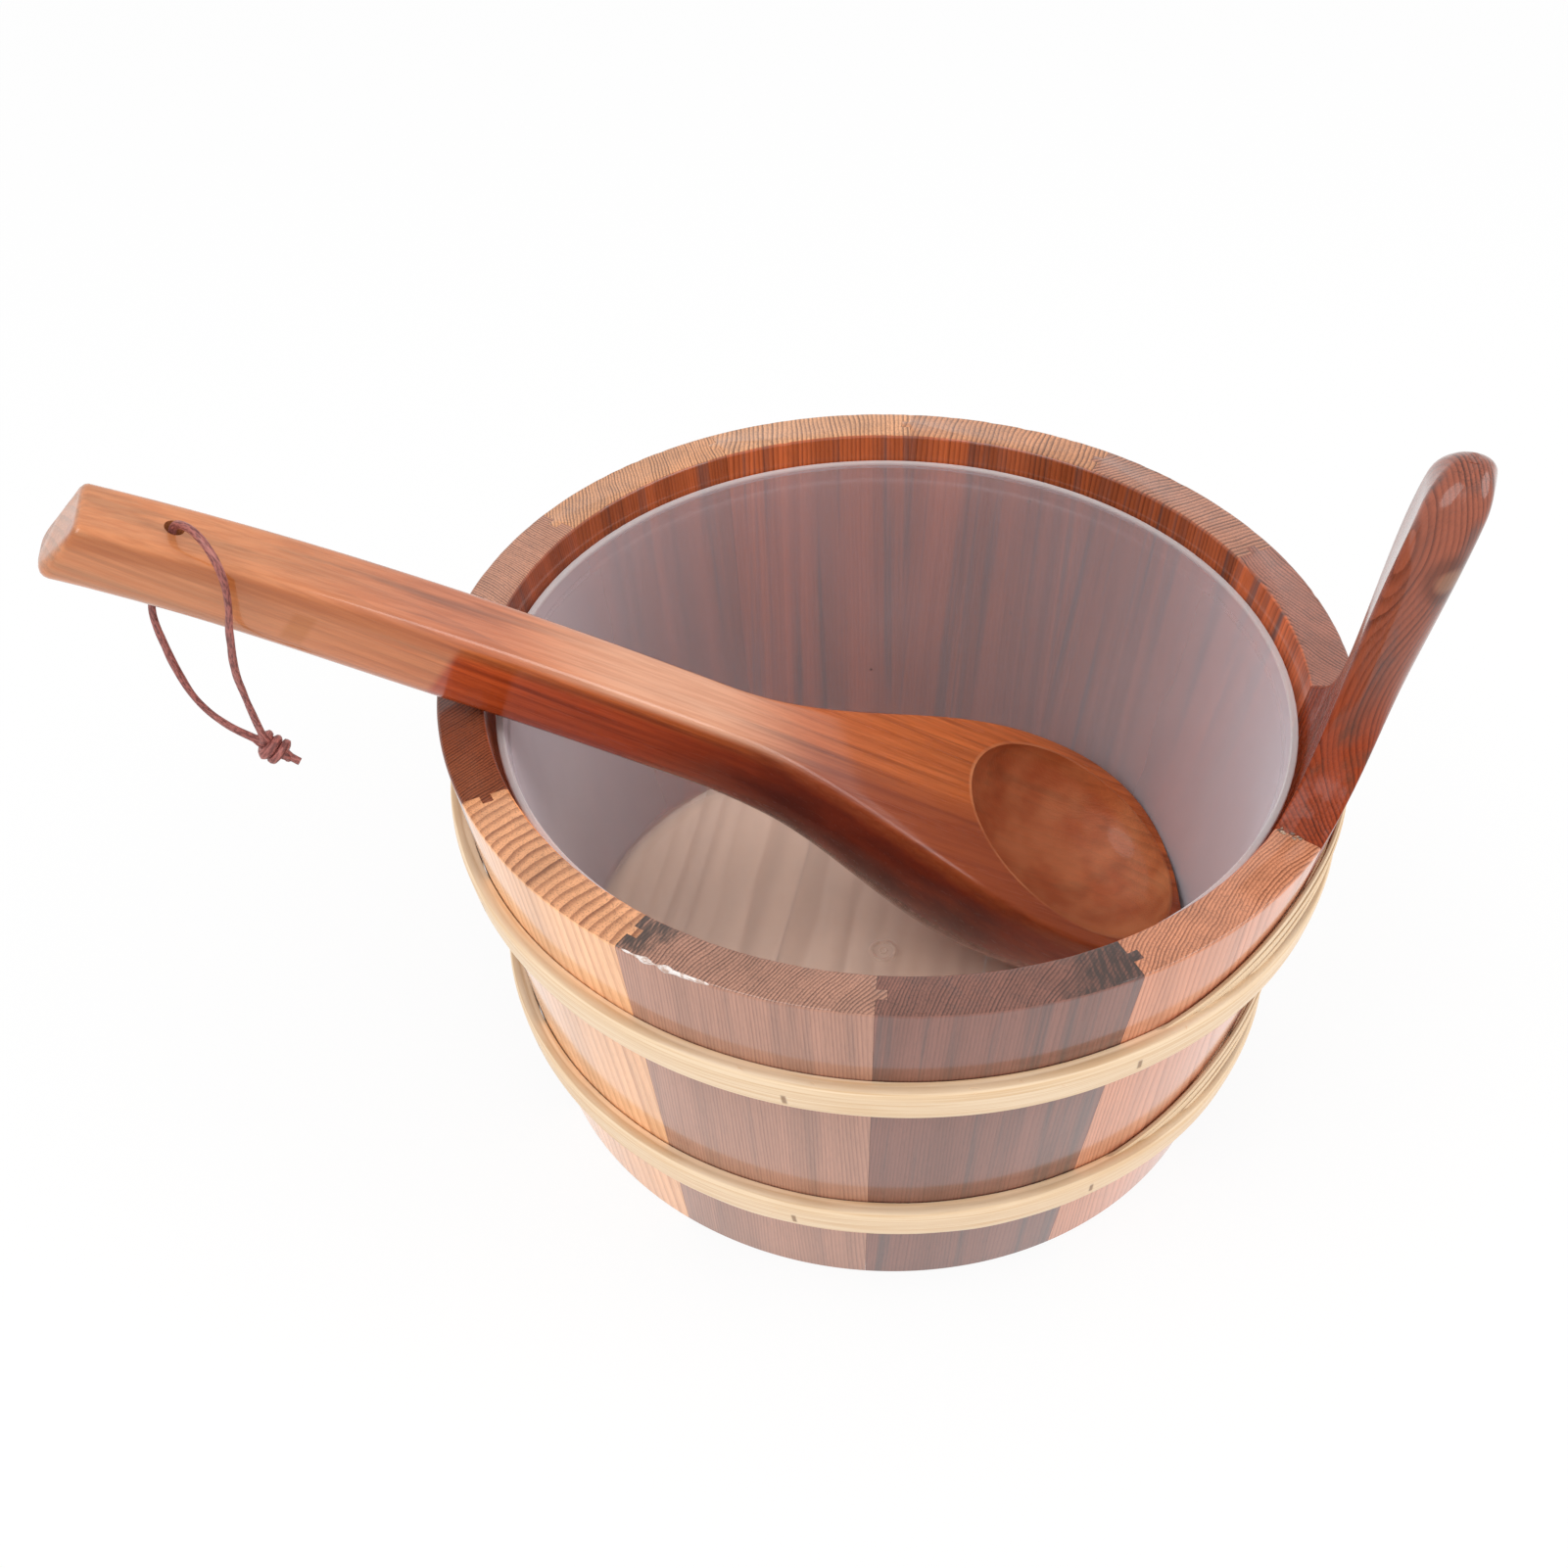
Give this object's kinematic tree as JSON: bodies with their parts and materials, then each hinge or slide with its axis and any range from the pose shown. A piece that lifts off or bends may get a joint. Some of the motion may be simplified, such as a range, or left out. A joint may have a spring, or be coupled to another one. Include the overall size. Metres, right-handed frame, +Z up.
{
  "type": "sauna bucket",
  "caption": "Low coopered wooden pail with one tall stave grip, split-rattan hoops and a lift-out plastic liner, with a carved wooden ladle for throwing water on hot stones.",
  "frame": {"origin": "on the tub's axis, in the plane its stave ends stand on", "axes": "+Z up along the tub's axis, +X towards the right of the picture, along which the part is longest; the grip stands on the +X side"},
  "size_m": [0.3597, 0.2596, 0.243],
  "materials": {
    "cedar_dark": "varnished dark cedar",
    "cedar_light": "varnished light cedar",
    "cedar_middle": "varnished mid-brown cedar",
    "cedar_handle": "glossy varnished cedar",
    "pale_softwood": "plain planed softwood",
    "split_rattan": "split rattan, skin side out",
    "milky_plastic": "milky translucent moulding",
    "cedar_ladle": "varnished carved cedar",
    "leather_lace": "round waxed lace"
  },
  "bodies": {
    "tub": {"stave_01": "cedar_light", "stave_02": "cedar_middle", "stave_03": "cedar_dark", "stave_04": "cedar_light", "stave_05": "cedar_middle", "stave_06": "cedar_dark", "stave_07": "cedar_light", "stave_08": "cedar_middle", "stave_09": "cedar_dark", "stave_10": "cedar_light", "stave_11": "cedar_middle", "handle_stave": "cedar_handle", "base_board_left": "pale_softwood", "base_board_middle": "pale_softwood", "base_board_right": "pale_softwood", "upper_hoop_outer": "split_rattan", "upper_hoop_inner": "split_rattan", "lower_hoop_outer": "split_rattan", "lower_hoop_inner": "split_rattan"},
    "liner": {"liner": "milky_plastic"},
    "ladle": {"ladle": "cedar_ladle", "lanyard_cord": "leather_lace", "lanyard_knot": "leather_lace"}
  },
  "joints": [
    {"name": "liner_lift_out", "type": "slide", "parent": "tub", "child": "liner", "axis": [0, 0, 1], "range_m": [0, 0.24]},
    {"name": "ladle_lift_out", "type": "slide", "parent": "liner", "child": "ladle", "axis": [0, 0, 1], "range_m": [0, 0.24]}
  ]
}
